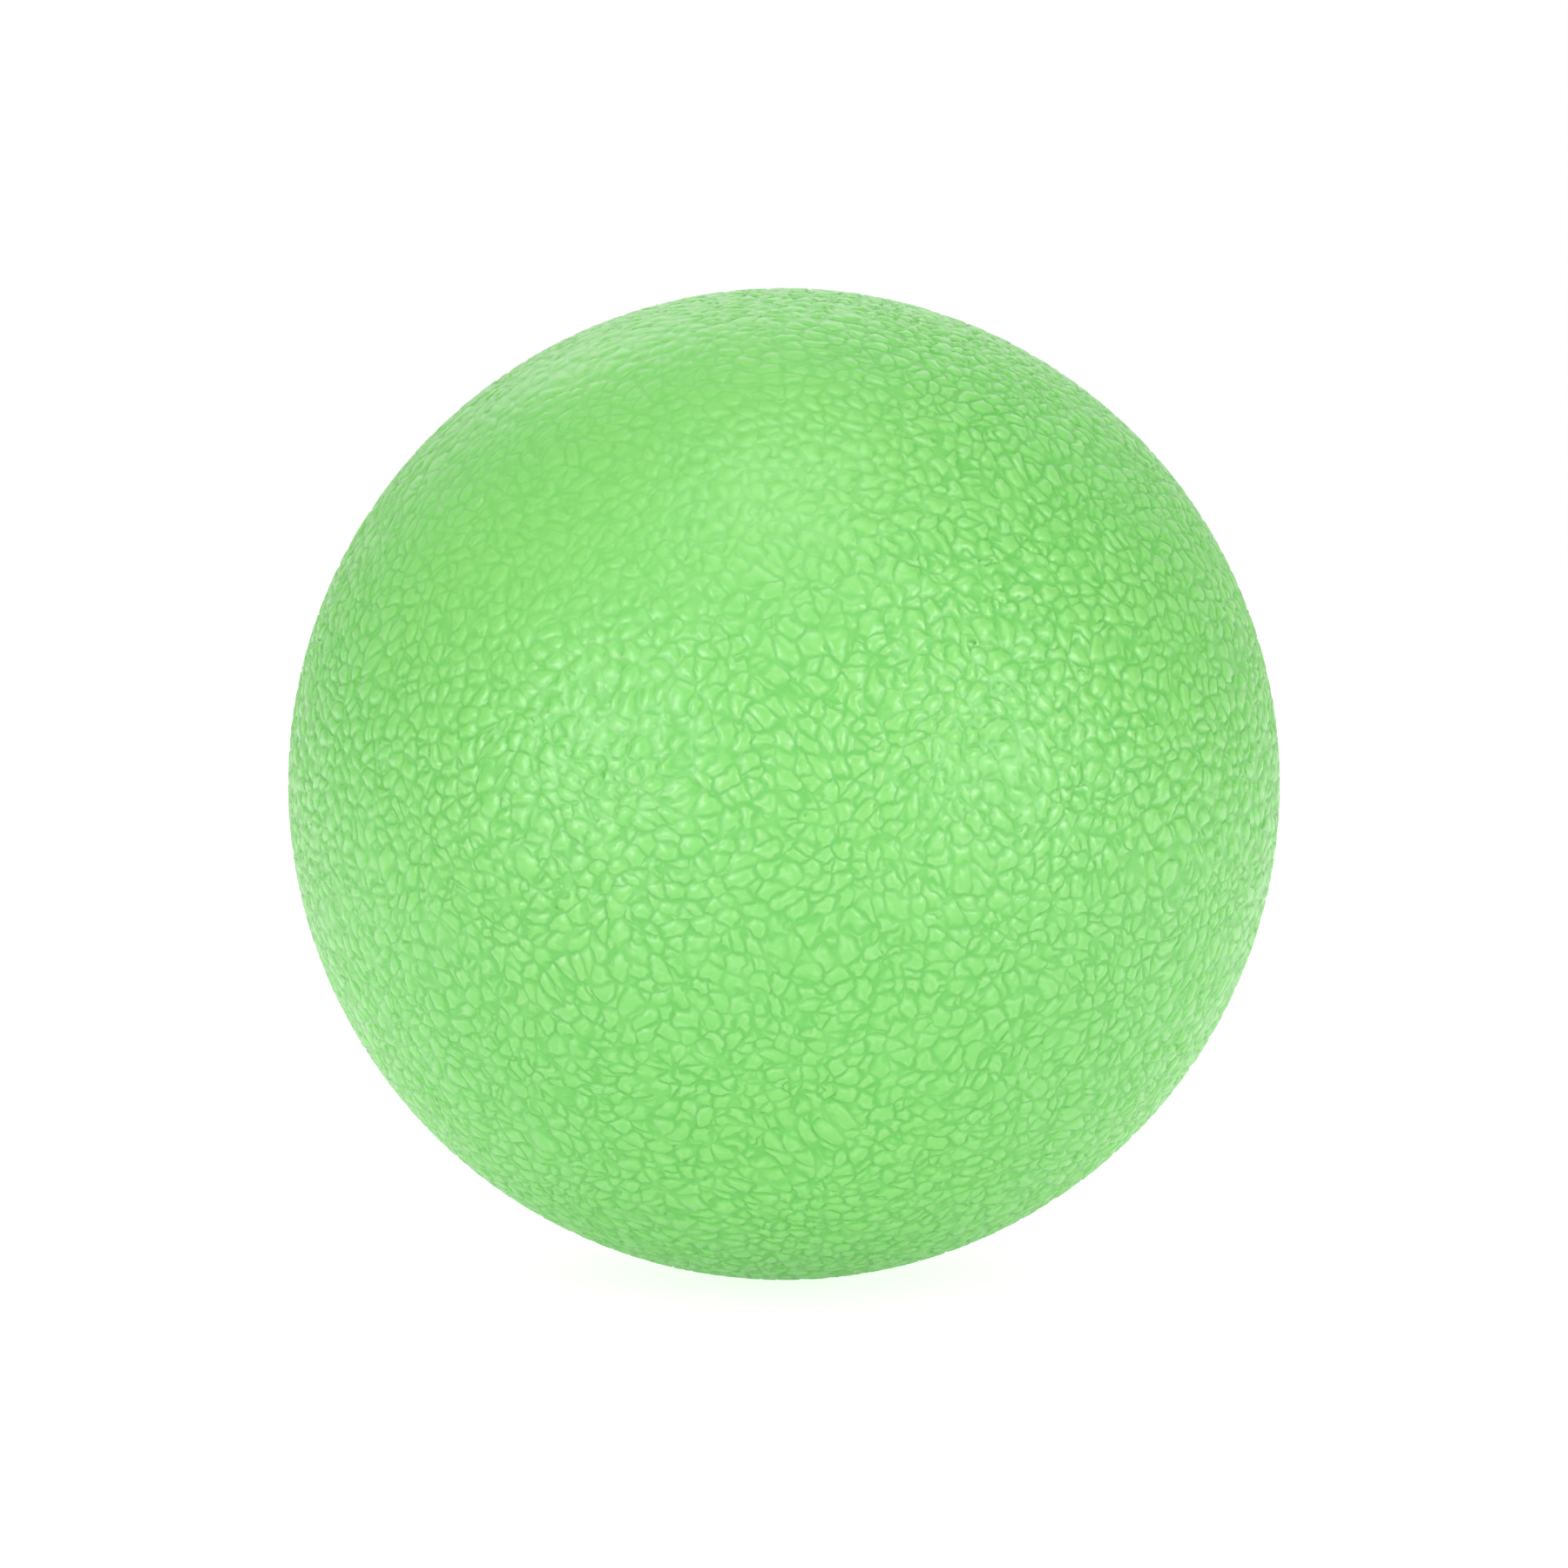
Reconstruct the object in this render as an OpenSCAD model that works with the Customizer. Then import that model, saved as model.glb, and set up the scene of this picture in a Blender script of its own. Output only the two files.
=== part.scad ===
// Massage ball: a firm core, a soft cushion moulded as two cups round it, and a grained skin
// moulded as two cups round the cushion. The skin cups close with a lap joint at the parting
// plane, and a bead of bonding rubber fills the seam groove round the outside.
// The origin is the ball's centre. The parting plane is the XZ plane: the front cups face -Y
// and the rear cups face +Y, so every piece is turned about the Y axis.

/* [Ball] */
// Diameter of the ball over the tops of its grain
ball_d = 63; // [50:1:80]
// Wall of the grained skin
skin_t = 3.6; // [3:0.1:6]
// Diameter of the firm core
core_d = 30; // [16:1:36]

/* [Skin lap joint] */
// Radial thickness of the lip on the front skin cup, at the parting plane
lip_t = 1.3; // [0.8:0.1:1.8]
// How far the lip reaches past the parting plane into the rear skin cup
lip_h = 2.4; // [1.5:0.1:4]
// Bonding clearance round the lip
lip_gap = 0.05; // [0.02:0.01:0.15]

/* [Cushion joint] */
// Radial thickness of the tongue on the front cushion cup
tongue_t = 3; // [2:0.1:4]
// How far the tongue reaches past the parting plane into the rear cushion cup
tongue_h = 3.2; // [2:0.1:5]
// Bevel on the nose of the tongue
tongue_bevel = 0.7; // [0.2:0.1:0.9]
// Bonding clearance round the tongue
tongue_gap = 0.1; // [0.05:0.01:0.3]

/* [Seam bead] */
// Width of the seam groove, and of the bead that fills it
bead_w = 0.6; // [0.4:0.05:1.2]
// Depth of the seam groove, from the ball's outer surface
bead_depth = 0.9; // [0.5:0.05:1.2]
// How far the bead stays below the ball's outer surface
bead_sink = 0.15; // [0.05:0.01:0.3]

/* [Hidden] */
$fn = 96;

ball_r = ball_d / 2;
cushion_r = ball_r - skin_t;
core_r = core_d / 2;
lip_r = cushion_r + lip_t;
tongue_r = (core_r + cushion_r) / 2;
groove_floor_r = ball_r - bead_depth;

skin_colour = "#90E180";
bead_colour = "#7FD06F";
cushion_colour = "#D9EFD3";
core_colour = "#3E5A45";

// Turns a section about the ball's Y axis. The section is drawn with x as the distance from
// the axis and y as the distance forward of the parting plane.
module turned() {
    rotate([90, 0, 0])
        rotate_extrude()
            children();
}

// A rectangle of a section, from one corner to the opposite one
module block(from, to) {
    translate(from)
        square(to - from);
}

// The wall between two concentric spheres, on one side of the parting plane (+1 front, -1 rear)
module cup_section(inner_r, outer_r, side) {
    intersection() {
        difference() {
            circle(r = outer_r);
            circle(r = inner_r);
        }
        block([0, min(0, side * outer_r)], [outer_r, max(0, side * outer_r)]);
    }
}

// The tongue of the cushion joint, or with a gap the groove that it lies in
module tongue_section(gap) {
    half_t = tongue_t / 2 + gap;
    nose = -tongue_h - gap;
    polygon([
        [tongue_r - half_t, 0],
        [tongue_r - half_t, nose + tongue_bevel],
        [tongue_r - half_t + tongue_bevel, nose],
        [tongue_r + half_t - tongue_bevel, nose],
        [tongue_r + half_t, nose + tongue_bevel],
        [tongue_r + half_t, 0],
    ]);
}

// The lip of the skin joint, or with a gap the rebate that it lies in
module lip_section(gap) {
    difference() {
        block([0, -lip_h - gap], [lip_r + gap, 0]);
        circle(r = cushion_r);
    }
}

module seam_groove_section() {
    block([groove_floor_r, -bead_w / 2], [ball_r, bead_w / 2]);
}

module core_ball() {
    color(core_colour)
        sphere(r = core_r);
}

module cushion_front() {
    color(cushion_colour)
        turned() {
            cup_section(core_r, cushion_r, 1);
            tongue_section(0);
        }
}

module cushion_rear() {
    color(cushion_colour)
        turned()
            difference() {
                cup_section(core_r, cushion_r, -1);
                tongue_section(tongue_gap);
            }
}

module skin_front() {
    color(skin_colour)
        turned()
            difference() {
                union() {
                    cup_section(cushion_r, ball_r, 1);
                    lip_section(0);
                }
                seam_groove_section();
            }
}

module skin_rear() {
    color(skin_colour)
        turned()
            difference() {
                cup_section(cushion_r, ball_r, -1);
                lip_section(lip_gap);
                seam_groove_section();
            }
}

module seam_bead() {
    color(bead_colour)
        turned()
            intersection() {
                circle(r = ball_r - bead_sink);
                seam_groove_section();
            }
}

core_ball();
cushion_front();
cushion_rear();
skin_front();
skin_rear();
seam_bead();
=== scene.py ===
# %% [markdown]
# # A grained massage ball
# The object is a ball of green elastomer, 63 mm across: a firm core, a soft cushion round it in two
# cups, and a grained skin round that in two more cups, bonded at a seam. Its construction comes from
# CAD as a fixed frame. This script gives it its looks: the leather-like grain of the skin as real
# relief, a finish for every piece, and a plain studio.
#
# The frame is loaded first. Every size below is either read from it or a named value.

# %% Load the CAD frame
import math

import bmesh
import bpy
from mathutils import Matrix, Vector


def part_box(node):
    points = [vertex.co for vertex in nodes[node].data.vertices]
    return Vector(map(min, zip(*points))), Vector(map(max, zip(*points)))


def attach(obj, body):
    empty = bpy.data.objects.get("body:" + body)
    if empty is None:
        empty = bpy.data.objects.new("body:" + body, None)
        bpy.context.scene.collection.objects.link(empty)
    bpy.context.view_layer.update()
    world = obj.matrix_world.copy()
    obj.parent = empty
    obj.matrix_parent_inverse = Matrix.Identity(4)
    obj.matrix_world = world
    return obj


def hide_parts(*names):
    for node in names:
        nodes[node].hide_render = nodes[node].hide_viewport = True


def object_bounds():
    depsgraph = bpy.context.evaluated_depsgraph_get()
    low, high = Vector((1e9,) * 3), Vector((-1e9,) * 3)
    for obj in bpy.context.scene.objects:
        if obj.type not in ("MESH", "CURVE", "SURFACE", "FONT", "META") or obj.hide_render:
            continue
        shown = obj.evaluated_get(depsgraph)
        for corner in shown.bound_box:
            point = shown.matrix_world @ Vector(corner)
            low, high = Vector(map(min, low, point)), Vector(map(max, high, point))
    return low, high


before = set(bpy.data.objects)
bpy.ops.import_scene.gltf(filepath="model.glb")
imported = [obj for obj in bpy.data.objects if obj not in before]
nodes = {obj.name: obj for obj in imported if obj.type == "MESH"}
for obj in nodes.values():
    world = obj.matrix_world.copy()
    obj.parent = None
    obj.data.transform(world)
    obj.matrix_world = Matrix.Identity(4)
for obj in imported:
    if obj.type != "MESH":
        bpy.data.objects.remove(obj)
cad_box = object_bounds()

MM = 0.001
BALL_R = -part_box("skin_front")[0].y
CUSHION_R = -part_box("cushion_front")[0].y
FLOOR_Z = cad_box[0].z
print(f"ball {2 * BALL_R / MM:.1f} mm, skin wall {(BALL_R - CUSHION_R) / MM:.1f} mm, nodes {sorted(nodes)}")

# %% [markdown]
# ## Arithmetic on sockets
# The grain is a formula. Written as nodes it would be a long list of Math nodes that nobody can read.
# `Wire` stands for one output socket and turns Python's operators into Math nodes, so that a formula
# still reads as a formula. The reflected forms, such as `__rsub__`, make `1.0 - mask` work too.

# %% Wire
class Wire:
    """One output of a tree. Arithmetic on it adds Math nodes to that tree."""

    def __init__(self, tree, socket):
        self.tree = tree
        self.socket = socket

    def math(self, operation, *values, clamp=False):
        inputs = dict(enumerate((self, *values)))
        return self.tree.add("ShaderNodeMath", {"operation": operation, "use_clamp": clamp}, inputs)

    def reflected(self, operation, value):
        return self.tree.add("ShaderNodeMath", {"operation": operation}, {0: value, 1: self})

    def __add__(self, other):
        return self.math("ADD", other)

    def __sub__(self, other):
        return self.math("SUBTRACT", other)

    def __rsub__(self, other):
        return self.reflected("SUBTRACT", other)

    def __mul__(self, other):
        return self.math("MULTIPLY", other)

    def __truediv__(self, other):
        return self.math("DIVIDE", other)

    def __rtruediv__(self, other):
        return self.reflected("DIVIDE", other)

    def clamp(self):
        """Kept between 0 and 1."""
        return self.math("ADD", 0.0, clamp=True)

    def at_least(self, low):
        return self.math("MAXIMUM", low)

    __radd__ = __add__
    __rmul__ = __mul__


print("Wire adds Math nodes for + - * /")

# %% [markdown]
# ## One way to add any other node
# Geometry and shader trees share most of their nodes, so one class serves both. `Tree.add` takes a
# node's type, its settings and its inputs. Settings are set first, because some of them change which
# sockets exist. The other methods are short names for the nodes that come up again and again.

# %% Tree
class Tree:
    """A node tree with one method that adds a node and returns one of its outputs."""

    def __init__(self, node_tree):
        self.nodes = node_tree.nodes
        self.links = node_tree.links

    def add(self, kind, settings=None, inputs=None, out=0):
        node = self.nodes.new(kind)
        for name, value in (settings or {}).items():
            setattr(node, name, value)
        for key, value in (inputs or {}).items():
            if isinstance(value, Wire):
                self.links.new(value.socket, node.inputs[key])
            else:
                node.inputs[key].default_value = value
        return Wire(self, node.outputs[out]) if node.outputs else node

    def vector(self, operation, *vectors, out="Vector"):
        """Vector Math on up to two vectors."""
        return self.add("ShaderNodeVectorMath", {"operation": operation}, dict(enumerate(vectors)), out)

    def length(self, vector):
        return self.vector("LENGTH", vector, out="Value")

    def shifted(self, vector, other):
        return self.vector("ADD", vector, other)

    def scaled(self, vector, factor):
        return self.add("ShaderNodeVectorMath", {"operation": "SCALE"}, {0: vector, "Scale": factor})

    def part(self, vector, axis):
        """One of a vector's X, Y and Z."""
        return self.add("ShaderNodeSeparateXYZ", None, {0: vector}, axis)

    def noise(self, vector, scale, detail, out="Fac"):
        inputs = {"Vector": vector, "Scale": scale, "Detail": detail}
        return self.add("ShaderNodeTexNoise", None, inputs, out)

    def voronoi(self, vector, scale, out, feature="F1", variety=1.0):
        inputs = {"Vector": vector, "Scale": scale, "Randomness": variety}
        return self.add("ShaderNodeTexVoronoi", {"feature": feature}, inputs, out)

    def ramp(self, value, low, high, to_low=0.0, to_high=1.0):
        """A smooth step of value from low to high."""
        inputs = {"Value": value, "From Min": low, "From Max": high, "To Min": to_low, "To Max": to_high}
        return self.add("ShaderNodeMapRange", {"interpolation_type": "SMOOTHSTEP"}, inputs, "Result")

    def blend(self, share, colour_a, colour_b):
        return self.add("ShaderNodeMix", {"data_type": "RGBA"}, {0: share, 6: colour_a, 7: colour_b}, out=2)

    def bump(self, height, strength=1.0, distance=1.0):
        inputs = {"Strength": strength, "Distance": distance, "Height": height}
        return self.add("ShaderNodeBump", None, inputs, "Normal")


print("Tree adds every other node")

# %% [markdown]
# ## What every material here has in common
# Every piece of the ball is a rubber or a gel, so each material is one Principled shader that reads
# Object coordinates. What is the same all over a piece is set on the shader's sockets. Only colour,
# roughness and normal vary over a surface, because those can be baked when the ball leaves Blender.

# %% Material helpers
def new_material(name):
    """An empty material, its tree, and the spot on the object that is being shaded."""
    material = bpy.data.materials.new(name)
    material.use_nodes = True
    material.node_tree.nodes.clear()
    tree = Tree(material.node_tree)
    return material, tree, tree.add("ShaderNodeTexCoord", out="Object")


def finish_material(tree, constants, varying):
    """One Principled shader: constants are set on its sockets, varying values are linked."""
    shader = tree.add("ShaderNodeBsdfPrincipled", None, {**constants, **varying}, "BSDF")
    tree.add("ShaderNodeOutputMaterial", None, {"Surface": shader})


print("materials vary in colour, roughness and normal")

# %% [markdown]
# ## The sizes of the grain
# The skin's mould is etched with a leather grain: angular islands of mixed size, with narrow valleys
# between them. They are pulled long in some places, some valleys are deep and others nearly gone, and
# on one worn spot all of them are shallow. Modelling thousands of islands by hand is hopeless, but they
# follow a rule, and these are its sizes.

# %% Grain sizes
GRAIN = {
    "Ball Radius": BALL_R,
    "Island Size": 1.1 * MM,
    "Size Variety": 0.85,
    "Stretch": 3.8 * MM,
    "Stretch Zone": 9.0 * MM,
    "Outline Wobble": 1.0 * MM,
    "Valley Width": 0.36 * MM,
    "Valley Spread": 2.8,
    "Corner Rounding": 0.15,
    "Shallow Valleys": 0.34,
    "Worn Spot": (-0.33, -0.64, 0.69),
    "Wear": 0.55,
    "Seed": 3,
}
ball_area = 4 * math.pi * GRAIN["Ball Radius"] ** 2
print(f"room for about {ball_area / GRAIN['Island Size'] ** 2:.0f} islands")

# %% [markdown]
# ## Bending the place before the pattern is read
# A plain cell pattern looks machine-made. Skin isn't: its islands lean and stretch together in zones,
# and their outlines wobble. Moving each cell would be slow. It is easier to move the place where the
# pattern is read, first by a wide noise and then by two narrow ones. The seed shifts the place too, so
# that each seed gives another ball.

# %% Bend the place
SEED_STEP = 0.1
MIDDLE_GREY = (-0.5, -0.5, -0.5)
LONG_WOBBLE = 1.1
SHORT_WOBBLE = 0.5
SHORT_WOBBLE_SHARE = 0.4


def wander(tree, place, wavelength, amount):
    """A place, moved by a smooth noise."""
    noise = tree.noise(tree.scaled(place, 1.0 / wavelength), 1.0, 1.0, "Color")
    return tree.shifted(place, tree.scaled(tree.shifted(noise, MIDDLE_GREY), amount))


def bent_place(tree, outward, size):
    """Where the pattern is read for the surface point in the direction outward."""
    seed_shift = SEED_STEP * size["Seed"]
    shift = tree.add("ShaderNodeCombineXYZ", None, {"X": seed_shift, "Y": seed_shift})
    place = tree.shifted(tree.scaled(outward, size["Ball Radius"]), shift)
    place = wander(tree, place, size["Stretch Zone"], size["Stretch"])
    place = wander(tree, place, size["Island Size"] * LONG_WOBBLE, size["Outline Wobble"])
    short_wobble = size["Outline Wobble"] * SHORT_WOBBLE_SHARE
    return wander(tree, place, size["Island Size"] * SHORT_WOBBLE, short_wobble)


print(f"zones of {GRAIN['Stretch Zone'] / MM:.0f} mm, seed {GRAIN['Seed']}")

# %% [markdown]
# ## How far a spot is from the nearest valley
# A Voronoi pattern fills space with cells, and a sphere that cuts through it gets islands of mixed
# size. The pattern's own distance to an edge is no use here, because it is measured through space, and
# a cell wall that leans would make a wide valley. So the rule takes the two nearest cell centres. Half
# the difference of their distances is nought on the wall between them and grows away from it, and the
# slope says how fast it grows along the surface. Dividing by the slope gives a distance along the
# surface, and all valleys come out about equally narrow. Where a wall lies nearly flat under the
# surface the slope is close to nought, and Valley Spread is the most that a distance is stretched by.

# %% Distance to a valley
def valley_distance(tree, place, outward, size):
    """Distance along the surface to the nearest valley's middle, and from the island's own middle."""
    cells = 1.0 / size["Island Size"]
    near = tree.voronoi(place, cells, "Position", "F1", size["Size Variety"])
    next_near = tree.voronoi(place, cells, "Position", "F2", size["Size Variety"])
    from_near = tree.vector("SUBTRACT", place, near)
    from_next = tree.vector("SUBTRACT", place, next_near)
    lead = (tree.length(from_next) - tree.length(from_near)) * 0.5
    lean = tree.vector("SUBTRACT", tree.vector("NORMALIZE", from_near), tree.vector("NORMALIZE", from_next))
    slope = tree.length(tree.vector("CROSS_PRODUCT", lean, outward)) * 0.5
    to_valley = lead / slope.at_least(1.0 / size["Valley Spread"])
    from_middle = tree.length(tree.vector("CROSS_PRODUCT", from_near, outward))
    return to_valley, from_middle


print(f"where a wall slants, distances are stretched up to {GRAIN['Valley Spread']} times")

# %% [markdown]
# ## The grain is one rule, used twice
# The distance becomes a profile. `valley` is 1 on a valley's floor and falls to 0 where the island
# starts. A narrower copy of it masks the painted shade in the valleys, and a band along the island's
# edge masks a painted highlight. Corners of islands are worn off by letting the valley widen away from
# the middle. Noise makes some valleys shallow, and the worn spot makes all valleys near it so. One
# function adds these nodes to any tree: Geometry Nodes press the relief with it, and the material paints
# the valley shade and the rim highlight with it, so colour and relief can't part company.

# %% Grain pattern
# For each island: how far from its middle corner rounding starts, and how many depth patches cross it.
SHARP_MIDDLE = 0.4
DEPTH_PATCHES = 0.8
DEPTH_STEP = (0.36, 0.56)
# In ball radii: how far from the worn spot the wear starts to fade, and where it ends.
WORN_REACH = (0.25, 0.75)
# In valley widths, from the valley's middle: where the painted valley shade ends, and the band of painted
# rim highlight.
SHADE_LINE_END = 0.8
RIM_HIGHLIGHT_SPAN = (0.8, 1.7)


def valley_depth(tree, place, outward, size):
    """1 where valleys have their full depth, less where they are shallow or worn."""
    cells = 1.0 / size["Island Size"]
    patches = tree.noise(place, DEPTH_PATCHES * cells, 1.0)
    depth = tree.ramp(patches, *DEPTH_STEP, 1.0 - size["Shallow Valleys"], 1.0)
    from_worn = tree.length(tree.vector("SUBTRACT", outward, size["Worn Spot"]))
    return depth * tree.ramp(from_worn, *WORN_REACH, 1.0 - size["Wear"], 1.0)


def grain_pattern(tree, spot, size):
    """Valley, the line of painted valley shade and the rim of painted highlight at a spot, each 0 to 1, and
    how far down the island's crown it is.
    """
    outward = tree.vector("NORMALIZE", spot)
    place = bent_place(tree, outward, size)
    to_valley, from_middle = valley_distance(tree, place, outward, size)
    past_middle = (from_middle - SHARP_MIDDLE * size["Island Size"]).at_least(0.0)
    inside = (to_valley - past_middle * size["Corner Rounding"]) / size["Valley Width"]
    depth = valley_depth(tree, place, outward, size)
    valley = tree.ramp(inside, 0.0, 1.0, 1.0, 0.0) * depth
    # The narrower line marks where the valleys get painted shade; the rim band marks where the islands get
    # a painted highlight.
    valley_shade = tree.ramp(inside, 0.0, SHADE_LINE_END, 1.0, 0.0) * depth
    rim_highlight = tree.ramp(inside, *RIM_HIGHLIGHT_SPAN, 1.0, 0.0) * depth
    off_middle = from_middle / size["Island Size"]
    return valley, valley_shade, rim_highlight, off_middle * off_middle


print(f"valleys {2 * GRAIN['Valley Width'] / MM:.2f} mm wide at the top")

# %% [markdown]
# ## The skin's finish
# The skin is a soft elastomer, coloured right through. It is satin, and milky enough that light creeps
# under the surface and softens every shadow. A broad, weak coat gives the sheen that such rubber has
# from its oil. Valleys are painted a deeper green as shade, for less light gets out of them, and are a
# little rougher. The rims of the islands are painted paler in patches, as a painted highlight. A very
# fine bump adds the pores and wrinkles that are too small to be relief.

# %% Skin sizes and colours
GRAIN_DEPTH = 0.155 * MM
GRAIN_CROWN = 0.04 * MM

TOP_GREEN = (0.228, 0.730, 0.150, 1.0)
WARM_GREEN = (0.245, 0.738, 0.147, 1.0)
# Painted light: the paler rim green is a painted highlight on the island rims, and the deeper valley green
# is painted shade in the valleys.
RIM_HIGHLIGHT_GREEN = (0.306, 0.768, 0.220, 1.0)
VALLEY_SHADE_GREEN = (0.155, 0.640, 0.096, 1.0)

# How often each noise repeats in a metre, and how much of it shows.
DRIFT_WAVES = 60.0
# The painted highlight on the island rims: how patchy it is, and how strongly it shows.
RIM_HIGHLIGHT_PATCH_WAVES = 1500.0
RIM_HIGHLIGHT_STRENGTH = 1.1
PORE_WAVES = 2300.0
PORE_HEIGHT = 0.006 * MM
WRINKLE_WAVES = 1100.0
WRINKLE_WIDTH = 0.16
WRINKLE_HEIGHT = 0.009 * MM

SATIN = 0.40
VALLEY_ROUGHER = 0.10
PORE_ROUGHER = 0.10
VALLEY_BUMP = 0.1
CROWN_BUMP = 0.2
SKIN_SHEEN = {
    "IOR": 1.80,
    "Coat Weight": 0.5,
    "Coat Roughness": 0.36,
    "Coat IOR": 1.6,
    "Subsurface Weight": 0.25,
    "Subsurface Radius": (0.5, 1.0, 0.4),
    "Subsurface Scale": 2.2 * MM,
}
print(f"valleys {GRAIN_DEPTH / MM:.3f} mm deep, islands rounded by {GRAIN_CROWN / MM:.3f} mm")

# %% [markdown]
# The colour is mixed from the bottom up: two greens that drift into each other over centimetres, then
# the painted highlight on the island rims, then the painted shade of the valley lines.

# %% Skin material
PATCHY = (0.35, 0.65)


def skin_colour(tree, spot, valley_shade, rim_highlight):
    drift = tree.ramp(tree.noise(spot, DRIFT_WAVES, 2.0), *PATCHY)
    # The island rims are painted paler in patches: a painted highlight.
    highlight_patches = tree.ramp(tree.noise(spot, RIM_HIGHLIGHT_PATCH_WAVES, 1.0), *PATCHY)
    tops = tree.blend(drift, TOP_GREEN, WARM_GREEN)
    with_rim_highlight = tree.blend(rim_highlight * highlight_patches * RIM_HIGHLIGHT_STRENGTH, tops, RIM_HIGHLIGHT_GREEN)
    # The valley lines are painted a deeper green: painted shade.
    return tree.blend(valley_shade, with_rim_highlight, VALLEY_SHADE_GREEN)


def skin_material():
    material, tree, spot = new_material("leather_grained_elastomer")
    valley, valley_shade, rim_highlight, dome = grain_pattern(tree, spot, GRAIN)
    pores = tree.noise(spot, PORE_WAVES, 2.0)
    off_wrinkle = (tree.noise(spot, WRINKLE_WAVES, 1.0) - 0.5).math("ABSOLUTE")
    wrinkles = tree.ramp(off_wrinkle, 0.0, WRINKLE_WIDTH, 1.0, 0.0)
    roughness = SATIN + valley * VALLEY_ROUGHER + (pores - 0.5) * PORE_ROUGHER
    detail = pores * PORE_HEIGHT + wrinkles * WRINKLE_HEIGHT
    height = detail - valley * (VALLEY_BUMP * GRAIN_DEPTH) - dome * (CROWN_BUMP * GRAIN_CROWN)
    colour = skin_colour(tree, spot, valley_shade, rim_highlight)
    varying = {"Base Color": colour, "Roughness": roughness, "Normal": tree.bump(height)}
    finish_material(tree, SKIN_SHEEN, varying)
    return material


skin_green = skin_material()
print("made", skin_green.name)

# %% [markdown]
# ## The grain as relief
# A bump alone would leave the outline smooth and the exported mesh bare, so the grain is pressed into
# real geometry. A Geometry Nodes tree makes a dense sphere and moves each of its points inwards by the
# rule above. Every size is a named input, so the grain can be tried out in Blender's own panel. The
# clearance holds the tops just under the CAD surface, because thinning the mesh afterwards can push a
# point out by a hundredth of a millimetre.

# %% Relief tree
RELIEF = {
    **GRAIN,
    "Valley Depth": GRAIN_DEPTH,
    "Crown": GRAIN_CROWN,
    "Clearance": 0.013 * MM,
    "Surface Level": 9,
}
SOCKET_KINDS = {int: "NodeSocketInt", float: "NodeSocketFloat", tuple: "NodeSocketVector"}


def grain_tree():
    group = bpy.data.node_groups.new("leather_grain", "GeometryNodeTree")
    for name, value in RELIEF.items():
        group.interface.new_socket(name, in_out="INPUT", socket_type=SOCKET_KINDS[type(value)])
    group.interface.new_socket("Geometry", in_out="OUTPUT", socket_type="NodeSocketGeometry")
    tree = Tree(group)
    given = {name: tree.add("NodeGroupInput", out=name) for name in RELIEF}
    spot = tree.add("GeometryNodeInputPosition")
    valley, valley_shade, rim_highlight, dome = grain_pattern(tree, spot, given)
    sunk = valley * given["Valley Depth"] + dome * given["Crown"] + given["Clearance"]
    inward = tree.scaled(tree.vector("NORMALIZE", spot), 0.0 - sunk)
    ball_inputs = {"Radius": given["Ball Radius"], "Subdivisions": given["Surface Level"]}
    surface = tree.add("GeometryNodeMeshIcoSphere", None, ball_inputs, "Mesh")
    pressed = tree.add("GeometryNodeSetPosition", None, {"Geometry": surface, "Offset": inward})
    smooth = tree.add("GeometryNodeSetShadeSmooth", None, {"Geometry": pressed})
    whole = tree.add("GeometryNodeRealizeInstances", None, {"Geometry": smooth})
    dressed = tree.add("GeometryNodeSetMaterial", None, {"Geometry": whole, "Material": skin_green})
    tree.add("NodeGroupOutput", None, {0: dressed})
    return group


grain_group = grain_tree()
print(f"{grain_group.name}: {len(grain_group.nodes)} nodes, {len(RELIEF)} inputs")

# %% [markdown]
# ## One grained ball as a plain mesh
# The modifier's inputs are set through each socket's identifier, which stays the same when a socket is
# renamed. A second modifier thins the flat parts of the islands and keeps the valleys, so that each cup
# stays a size that other programs can open. Then the result is taken as a plain mesh.

# %% Grained ball
TRIANGLES_A_CUP = 180_000
ICOSAHEDRON_FACES = 20


def in_scene(name, data):
    """A new object of that name in the scene."""
    made = bpy.data.objects.new(name, data)
    bpy.context.scene.collection.objects.link(made)
    return made


def plain_mesh(obj, name):
    """The evaluated object as a new mesh object of that name."""
    graph = bpy.context.evaluated_depsgraph_get()
    return in_scene(name, bpy.data.meshes.new_from_object(obj.evaluated_get(graph)))


def grained_ball():
    source = in_scene("grain_source", bpy.data.meshes.new("grain_source"))
    grain = source.modifiers.new("grain", "NODES")
    grain.node_group = grain_group
    for item in grain_group.interface.items_tree:
        if item.item_type == "SOCKET" and item.in_out == "INPUT":
            grain[item.identifier] = RELIEF[item.name]
    thin = source.modifiers.new("thin", "DECIMATE")
    faces = ICOSAHEDRON_FACES * 4 ** (RELIEF["Surface Level"] - 1)
    thin.ratio = min(1.0, 2 * TRIANGLES_A_CUP / faces)
    made = plain_mesh(source, "grained_ball")
    bpy.data.objects.remove(source)
    return made


ball = grained_ball()
print("grained ball:", len(ball.data.polygons), "faces")

# %% [markdown]
# ## Two cups out of one ball
# Each skin cup has a wall, a lip or its rebate, and half of the seam groove, all of which CAD already
# holds. Modelling them again could only make them worse. A copy of the CAD cup whose outer face is
# swollen a little is used as a cutter instead: what it shares with the grained ball is the cup, with
# CAD's inner form and the grain outside.

# %% Cutter
SWELL = 1.04
SAME_POINT = 0.001 * MM
OUTER_FACE_DEPTH = 0.01 * MM


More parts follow.
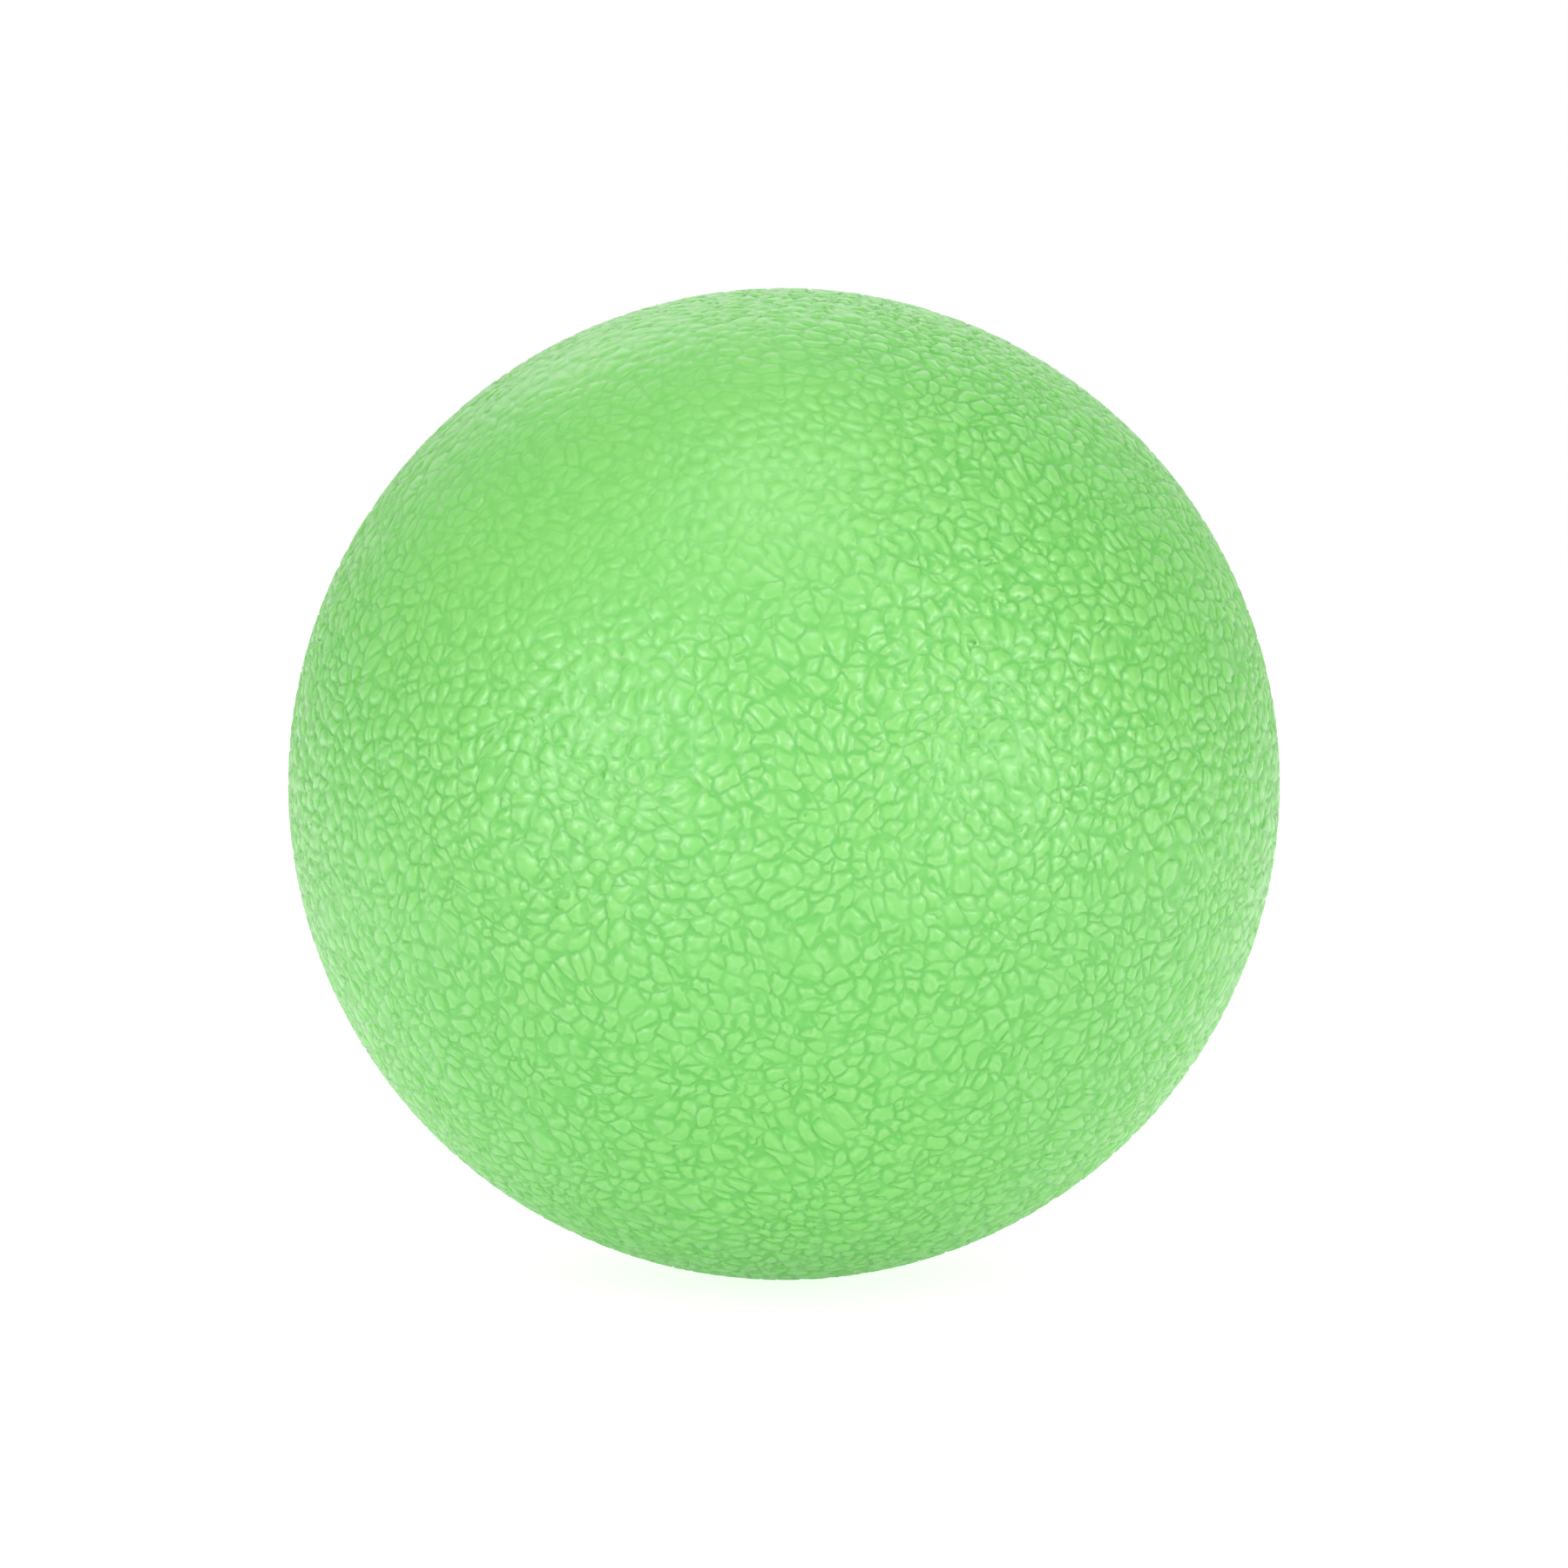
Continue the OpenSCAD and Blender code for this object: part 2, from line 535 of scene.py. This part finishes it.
def cutter_for(node):
    """A closed copy of a CAD cup whose outer face stands clear of the grain."""
    shape = bmesh.new()
    shape.from_mesh(nodes[node].data)
    bmesh.ops.remove_doubles(shape, verts=shape.verts, dist=SAME_POINT)
    for vert in shape.verts:
        if vert.co.length > BALL_R - OUTER_FACE_DEPTH:
            vert.co *= SWELL
    mesh = bpy.data.meshes.new(node + "_cutter")
    shape.to_mesh(mesh)
    shape.free()
    return in_scene(node + "_cutter", mesh)


print(f"cutters stand {(SWELL - 1) * BALL_R / MM:.1f} mm proud of the ball")

# %% [markdown]
# The cut leaves sharp corners at the lip and the groove, which are marked so that smooth shading stops
# there. On a closed mesh each edge is used by two faces, so counting the others shows any hole.

# %% Grained cups
SHARP = math.radians(62)


def open_edges(mesh):
    """How many edges don't have exactly two faces: none on a closed mesh."""
    shape = bmesh.new()
    shape.from_mesh(mesh)
    found = sum(len(edge.link_faces) != 2 for edge in shape.edges)
    shape.free()
    return found


def grained_cup(name, node):
    cutter = cutter_for(node)
    work = in_scene(name + "_work", ball.data)
    cut = work.modifiers.new("cut", "BOOLEAN")
    cut.operation = "INTERSECT"
    cut.solver = "MANIFOLD"
    cut.object = cutter
    cup = plain_mesh(work, name)
    for scrap in (work, cutter):
        bpy.data.objects.remove(scrap)
    cup.data.materials.clear()
    cup.data.materials.append(skin_green)
    cup.data.set_sharp_from_angle(angle=SHARP)
    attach(cup, "root")
    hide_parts(node)
    print(name, len(cup.data.polygons), "faces,", open_edges(cup.data), "open edges")


grained_cup("grained_cup_front", "skin_front")
grained_cup("grained_cup_rear", "skin_rear")
bpy.data.objects.remove(ball)

# %% [markdown]
# ## The seam bead
# The other pieces keep their CAD shape and only need a finish. The first is the bead of bonding rubber
# in the groove between the skin cups, which shows as a fine line round the ball. It is squeezed out when
# the cups are pressed together, so it is lumpy, and its green is close to the skin's but not even.

# %% Bead
BEAD_DEEP = (0.20, 0.64, 0.13, 1.0)
BEAD_PALE = (0.25, 0.70, 0.17, 1.0)
BEAD_LUMP_WAVES = 420.0
BEAD_LUMP_STEP = (0.3, 0.7)
BEAD_LUMP_HEIGHT = 0.06 * MM
BEAD_LUMP_SHARPNESS = 0.5
BEAD_SMOOTHEST = 0.34
BEAD_ROUGHER = 0.2


def dress(node, material):
    """Gives a CAD piece its one material."""
    slots = nodes[node].data.materials
    slots.clear()
    slots.append(material)
    print(node, "is", material.name)


def bead_material():
    material, tree, spot = new_material("bonding_rubber")
    lumps = tree.noise(spot, BEAD_LUMP_WAVES, 3.0)
    colour = tree.blend(tree.ramp(lumps, *BEAD_LUMP_STEP), BEAD_DEEP, BEAD_PALE)
    bump = tree.bump(lumps, BEAD_LUMP_SHARPNESS, BEAD_LUMP_HEIGHT)
    roughness = BEAD_SMOOTHEST + lumps * BEAD_ROUGHER
    finish_material(tree, {"IOR": 1.47}, {"Base Color": colour, "Roughness": roughness, "Normal": bump})
    return material


dress("seam_bead", bead_material())

# %% [markdown]
# ## The cushion
# Under the skin lies a cushion of soft gel in two cups. Such a gel is milky and cloudy, and light
# wanders far in it. Its surface has small pores, where bubbles reached the mould, and the cells of a
# Voronoi pattern make a good bump for them.

# %% Cushion
GEL_CLOUDY = (0.62, 0.82, 0.56, 1.0)
GEL_CLEAR = (0.74, 0.88, 0.69, 1.0)
GEL_CLOUD_WAVES = 140.0
GEL_CLOUD_STEP = (0.35, 0.7)
GEL_PORE_WAVES = 900.0
GEL_PORE_DEPTH = 0.05 * MM
GEL_PORE_SHARPNESS = 0.3
GEL_SMOOTHEST = 0.5
GEL_ROUGHER = 0.2
GEL_GLOW = {
    "IOR": 1.43,
    "Subsurface Weight": 0.3,
    "Subsurface Radius": (0.8, 1.0, 0.7),
    "Subsurface Scale": 3 * MM,
}


def cushion_material():
    material, tree, spot = new_material("milky_gel")
    clouds = tree.noise(spot, GEL_CLOUD_WAVES, 4.0)
    pores = tree.voronoi(spot, GEL_PORE_WAVES, "Distance")
    colour = tree.blend(tree.ramp(clouds, *GEL_CLOUD_STEP), GEL_CLOUDY, GEL_CLEAR)
    bump = tree.bump(pores, GEL_PORE_SHARPNESS, GEL_PORE_DEPTH)
    roughness = GEL_SMOOTHEST + clouds * GEL_ROUGHER
    finish_material(tree, GEL_GLOW, {"Base Color": colour, "Roughness": roughness, "Normal": bump})
    return material


cushion_gel = cushion_material()
dress("cushion_front", cushion_gel)
dress("cushion_rear", cushion_gel)

# %% [markdown]
# ## The core
# The core is a firm ball of rubber, often made from crumbs of old rubber that are pressed together. A
# Voronoi pattern gives every crumb one random number, and only the few highest become pale crumbs. A
# fine noise makes the surface gritty and dull.

# %% Core
CRUMB_DARK = (0.035, 0.075, 0.045, 1.0)
CRUMB_PALE = (0.10, 0.20, 0.12, 1.0)
CRUMB_WAVES = 700.0
CRUMB_PALE_STEP = (0.82, 0.95)
GRIT_WAVES = 1500.0
GRIT_HEIGHT = 0.05 * MM
GRIT_SHARPNESS = 0.4
CORE_SMOOTHEST = 0.6
CORE_ROUGHER = 0.25


def core_material():
    material, tree, spot = new_material("firm_rubber")
    crumbs = tree.part(tree.voronoi(spot, CRUMB_WAVES, "Color"), "X")
    grit = tree.noise(spot, GRIT_WAVES, 3.0)
    colour = tree.blend(tree.ramp(crumbs, *CRUMB_PALE_STEP), CRUMB_DARK, CRUMB_PALE)
    bump = tree.bump(grit, GRIT_SHARPNESS, GRIT_HEIGHT)
    roughness = CORE_SMOOTHEST + grit * CORE_ROUGHER
    finish_material(tree, {"IOR": 1.52}, {"Base Color": colour, "Roughness": roughness, "Normal": bump})
    return material


dress("core_ball", core_material())

# %% [markdown]
# ## A white world
# The studio is plain white on all sides. Light Path lets each kind of ray meet its own world: the
# camera sees full white, the light on the ball is a gentle even one, and the ball's gloss mirrors a
# world that is bright behind the ball and dim in front, where the camera stands. A rim that mirrors
# what is behind it then turns pale, as on the real ball, and the middle keeps its green.

# %% World
WHITE = (1.0, 1.0, 1.0, 1.0)
AMBIENT = 0.69
MIRRORED_FRONT = 0.15
MIRRORED_BACK = 0.98
BEHIND = (0.35, 1.0)


def ray_is(tree, kind):
    """1 for rays of that kind and 0 for the others."""
    return tree.add("ShaderNodeLightPath", out=f"Is {kind} Ray")


def white_world():
    world = bpy.data.worlds.new("studio")
    world.use_nodes = True
    world.node_tree.nodes.clear()
    tree = Tree(world.node_tree)
    direction = tree.add("ShaderNodeTexCoord", out="Generated")
    mirrored = tree.ramp(tree.part(direction, "Y"), *BEHIND, MIRRORED_FRONT, MIRRORED_BACK)
    seen = ray_is(tree, "Camera") + ray_is(tree, "Transmission")
    glossy = ray_is(tree, "Glossy")
    strength = seen + glossy * mirrored + (1.0 - seen - glossy).clamp() * AMBIENT
    sky = tree.add("ShaderNodeBackground", None, {"Color": WHITE, "Strength": strength})
    tree.add("ShaderNodeOutputWorld", None, {"Surface": sky})
    return world


bpy.context.scene.world = white_world()
print(f"world lights at {AMBIENT}, and is mirrored at {MIRRORED_FRONT} to {MIRRORED_BACK}")

# %% [markdown]
# ## The floor
# The ball stands on a wide white sheet. For the light that falls on the ball, the sheet is white paint
# with a weak glow, which fills the ball's underside. For the camera and in gloss it is a darker paint
# with a strong glow: that adds up to white, and the paint still takes the ball's soft shadow. In gloss
# the glow fades in front of the ball, because a floor that is bright there too would veil its lower
# half.

# %% Floor
SHEET_HALF = 3.0
BRIGHT_PAINT = (0.88, 0.88, 0.88, 1.0)
FLOOR_BOUNCE = 0.23
DIM_PAINT = (0.55, 0.55, 0.55, 1.0)
FLOOR_GLOW = 0.80
GLOSS_DIMMER = 0.08
GLOSS_DIMMER_IN_FRONT = 0.72
FRONT_EDGE = (-0.04, 0.02)


def glowing_paint(tree, colour, glow):
    """A matt paint that also gives off white light."""
    paint = tree.add("ShaderNodeBsdfDiffuse", None, {"Color": colour})
    light = tree.add("ShaderNodeEmission", None, {"Color": WHITE, "Strength": glow})
    return tree.add("ShaderNodeAddShader", None, {0: paint, 1: light})


def floor_material():
    material, tree, spot = new_material("studio_floor")
    glossy = ray_is(tree, "Glossy")
    in_front = tree.ramp(tree.part(spot, "Y"), *FRONT_EDGE, 1.0, 0.0)
    glow = FLOOR_GLOW - glossy * (in_front * GLOSS_DIMMER_IN_FRONT + GLOSS_DIMMER)
    lighting = glowing_paint(tree, BRIGHT_PAINT, FLOOR_BOUNCE)
    shown = glowing_paint(tree, DIM_PAINT, glow)
    seen = (ray_is(tree, "Camera") + glossy + ray_is(tree, "Transmission")).clamp()
    mixed = tree.add("ShaderNodeMixShader", None, {0: seen, 1: lighting, 2: shown})
    tree.add("ShaderNodeOutputMaterial", None, {"Surface": mixed})
    return material


def floor():
    shape = bmesh.new()
    bmesh.ops.create_grid(shape, x_segments=1, y_segments=1, size=SHEET_HALF)
    mesh = bpy.data.meshes.new("floor")
    shape.to_mesh(mesh)
    shape.free()
    mesh.transform(Matrix.Translation((0, 0, FLOOR_Z)))
    mesh.materials.append(floor_material())
    in_scene("floor", mesh)


floor()
print(f"floor {FLOOR_Z / MM:.1f} mm from the ball's centre")

# %% [markdown]
# ## Four soft boxes
# A soft box is a lamp behind a sheet of cloth. Its size sets how soft the highlight is, so each is an
# area lamp. Two stand at about the ball's height, left and right of the camera, and make a pale patch
# on either side of the ball. A large one overhead lights the top, and a wide one behind the ball lights
# the upper rim. They are weak, so that green stays green and nothing clips to white.

# %% Soft boxes
BOX_DISTANCE = 0.6


def soft_box(name, azimuth, elevation, width, height, power):
    """An area lamp that faces the ball. Azimuth 0 is at the camera, positive to the right."""
    turn = math.radians(azimuth)
    rise = math.radians(elevation)
    away = Vector((math.sin(turn) * math.cos(rise), -math.cos(turn) * math.cos(rise), math.sin(rise)))
    lamp = bpy.data.lights.new(name, "AREA")
    lamp.shape = "RECTANGLE"
    lamp.size = width
    lamp.size_y = height
    lamp.energy = power
    made = in_scene(name, lamp)
    made.location = away * BOX_DISTANCE
    made.rotation_euler = away.to_track_quat("Z", "Y").to_euler()
    print(f"{name}: {width} by {height} m, {power} W")


soft_box("right_box", azimuth=44, elevation=13, width=0.15, height=0.14, power=0.68)
soft_box("left_box", azimuth=-37, elevation=9, width=0.10, height=0.30, power=0.80)
soft_box("top_box", azimuth=6, elevation=66, width=0.36, height=0.40, power=0.60)
soft_box("back_box", azimuth=180, elevation=42, width=0.60, height=0.25, power=0.32)

# %% [markdown]
# ## Camera
# A fairly long lens looks at the ball from a little above its middle. The distance isn't guessed: a
# ball's outline is a tangent cone, so the sine of half the cone's angle is the radius over the
# distance, and the share of the view's width that the ball fills gives that angle.

# %% Camera
LENS = 85.0
SENSOR = 36.0
BALL_SHARE = 0.633
CAMERA_RISE = math.radians(4)
CLIP_START = 0.01


def camera():
    half_view = math.atan(SENSOR / 2 / LENS)
    ball_angle = math.atan(BALL_SHARE * math.tan(half_view))
    distance = BALL_R / math.sin(ball_angle)
    lens = bpy.data.cameras.new("camera")
    lens.lens = LENS
    lens.sensor_width = SENSOR
    lens.clip_start = CLIP_START
    made = in_scene("camera", lens)
    back = Vector((0, -math.cos(CAMERA_RISE), math.sin(CAMERA_RISE)))
    made.location = back * distance
    made.rotation_euler = back.to_track_quat("Z", "Y").to_euler()
    bpy.context.scene.camera = made
    print(f"camera {distance:.3f} m from the ball's centre")


camera()
bpy.context.scene.view_settings.view_transform = "Standard"
